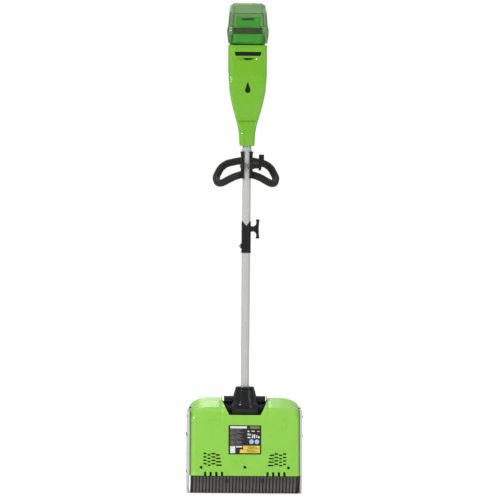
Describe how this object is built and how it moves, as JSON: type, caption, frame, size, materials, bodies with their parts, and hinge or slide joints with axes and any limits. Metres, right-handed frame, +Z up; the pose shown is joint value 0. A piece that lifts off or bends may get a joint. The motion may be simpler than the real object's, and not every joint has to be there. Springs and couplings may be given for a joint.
{
  "type": "snow blower",
  "caption": "Battery snow blower: rotor head with side plates, split tube, loop front handle and rear grip with a lidded battery bay.",
  "frame": {"origin": "middle of the base of the object's bounding box, level with the bottom of the scraper", "axes": "+Z up along the tube, +X to the operator's right, +Y away from the operator, towards the snow"},
  "size_m": [0.348, 0.2154, 1.468],
  "materials": {
    "green_abs": "satin moulded",
    "green_handle_abs": "satin moulded",
    "black_scroll": "fine texture",
    "light_grey_plate": "fine texture",
    "dark_nylon": "ribbed, scuffed",
    "gloss_black": "high gloss",
    "painted_tube": "powder coat",
    "black_nylon": "fine texture",
    "black_grip": "soft, dimpled",
    "cable_rubber": "smooth",
    "belt_rubber": "matte",
    "paddle_rubber": "matte",
    "core_nylon": "moulded",
    "steel": "machined",
    "motor_steel": "plated",
    "motor_bracket_alu": "cast",
    "pulley_alu": "machined",
    "pulley_nylon": "moulded",
    "board": "solder mask",
    "label": "printed film",
    "screw_steel": "blackened",
    "zinc_bolt": "zinc plated",
    "trigger_black": "fine texture",
    "lock_orange": "moulded",
    "brass_blades": "stamped",
    "battery_green": "moulded",
    "battery_black": "moulded",
    "cell_wrap": "shrink sleeve",
    "clear_green": "tinted clear"
  },
  "bodies": {
    "head": {"rear_cover": "green_abs", "front_hood": "green_abs", "rotor_housing": "black_scroll", "side_plate_left": "light_grey_plate", "side_plate_right": "light_grey_plate", "belt_bulkhead": "black_scroll", "belt_cover": "light_grey_plate", "rotor_bearings": "steel", "scraper": "dark_nylon", "neck_bracket": "gloss_black", "neck_socket": "gloss_black", "lower_tube": "painted_tube", "motor_can": "motor_steel", "motor_mount": "motor_bracket_alu", "drive_belt": "belt_rubber", "controller_board": "board", "rating_label": "label", "cover_screws": "screw_steel", "side_screws": "screw_steel", "coupler": "black_nylon", "lower_connector": "black_nylon", "lower_cable": "cable_rubber"},
    "rotor": {"rotor_shaft": "steel", "rotor_core": "core_nylon", "rotor_paddles": "paddle_rubber", "driven_pulley": "pulley_nylon"},
    "motor_rotor": {"motor_shaft": "steel", "drive_pulley": "pulley_alu", "motor_fan": "pulley_nylon"},
    "coupler_knob": {"coupler_knob": "black_nylon"},
    "snap_button": {"snap_button": "steel"},
    "upper_shaft": {"upper_tube": "painted_tube", "upper_connector": "black_nylon", "upper_cable": "cable_rubber", "handle_rear_shell": "green_handle_abs", "handle_front_shell": "green_handle_abs", "grip_overmould": "black_grip", "bay_liner": "black_nylon", "terminal_block": "black_nylon", "terminal_blades": "brass_blades", "trigger_pin": "steel", "trigger_spring": "steel", "trigger_switch": "black_nylon", "lock_spring": "steel", "lid_pins": "steel", "handle_screw": "screw_steel"},
    "trigger": {"trigger": "trigger_black"},
    "lock_button": {"lock_button": "lock_orange"},
    "battery": {"battery_case": "battery_green", "battery_band": "battery_black", "battery_cells": "cell_wrap"},
    "battery_button": {"battery_button": "battery_black"},
    "battery_lid": {"battery_lid": "clear_green"},
    "aux_sleeve": {"aux_sleeve": "black_nylon"},
    "aux_handle": {"aux_saddle": "black_nylon", "aux_loop": "black_grip", "aux_bolt": "zinc_bolt"},
    "aux_knob": {"aux_knob": "black_nylon"}
  },
  "joints": [
    {"name": "rotor_spin", "type": "hinge", "parent": "head", "child": "rotor", "pos_m": [0, -0.004, 0.08], "axis": [-1, 0, 0], "continuous": true},
    {"name": "motor_spin", "type": "hinge", "parent": "head", "child": "motor_rotor", "pos_m": [0, -0.012, 0.196], "axis": [-1, 0, 0], "continuous": true},
    {"name": "coupler_knob_turn", "type": "hinge", "parent": "head", "child": "coupler_knob", "pos_m": [0, -0.02, 0.7915], "axis": [1, 0, 0], "range_deg": [0, 450]},
    {"name": "snap_button_press", "type": "slide", "parent": "head", "child": "snap_button", "axis": [1, 0, 0], "range_m": [0, 0.003], "stiffness_N_per_m": 300, "springref_m": -0.002},
    {"name": "shaft_pull", "type": "slide", "parent": "head", "child": "upper_shaft", "axis": [0, 0, 1], "range_m": [0, 0.06]},
    {"name": "trigger_pull", "type": "hinge", "parent": "upper_shaft", "child": "trigger", "pos_m": [0, 0.046, 1.222], "axis": [1, 0, 0], "range_deg": [0, 10], "stiffness_Nm_per_rad": 0.4, "springref_deg": -8.59},
    {"name": "lock_press", "type": "slide", "parent": "upper_shaft", "child": "lock_button", "axis": [0, -1, 0], "range_m": [0, 0.004], "stiffness_N_per_m": 300, "springref_m": -0.002},
    {"name": "battery_slide", "type": "slide", "parent": "upper_shaft", "child": "battery", "axis": [0, 0, 1], "range_m": [0, 0.012]},
    {"name": "battery_button_press", "type": "slide", "parent": "battery", "child": "battery_button", "axis": [0, 1, 0], "range_m": [0, 0.003], "stiffness_N_per_m": 300, "springref_m": -0.002},
    {"name": "lid_open", "type": "hinge", "parent": "upper_shaft", "child": "battery_lid", "pos_m": [0, 0.053, 1.39], "axis": [-1, 0, 0], "range_deg": [0, 110]},
    {"name": "aux_slide", "type": "slide", "parent": "upper_shaft", "child": "aux_sleeve", "axis": [0, 0, 1], "range_m": [-0.105, 0]},
    {"name": "aux_swivel", "type": "hinge", "parent": "aux_sleeve", "child": "aux_handle", "pos_m": [0, -0.02, 0.981], "axis": [0, 0, 1], "range_deg": [-30, 30]},
    {"name": "aux_knob_turn", "type": "hinge", "parent": "aux_handle", "child": "aux_knob", "pos_m": [0, -0.0405, 0.981], "axis": [1, 0, 0], "range_deg": [0, 450]}
  ],
  "couplings": [
    {"joint": "motor_spin", "follows": "rotor_spin", "ratio": 4}
  ]
}
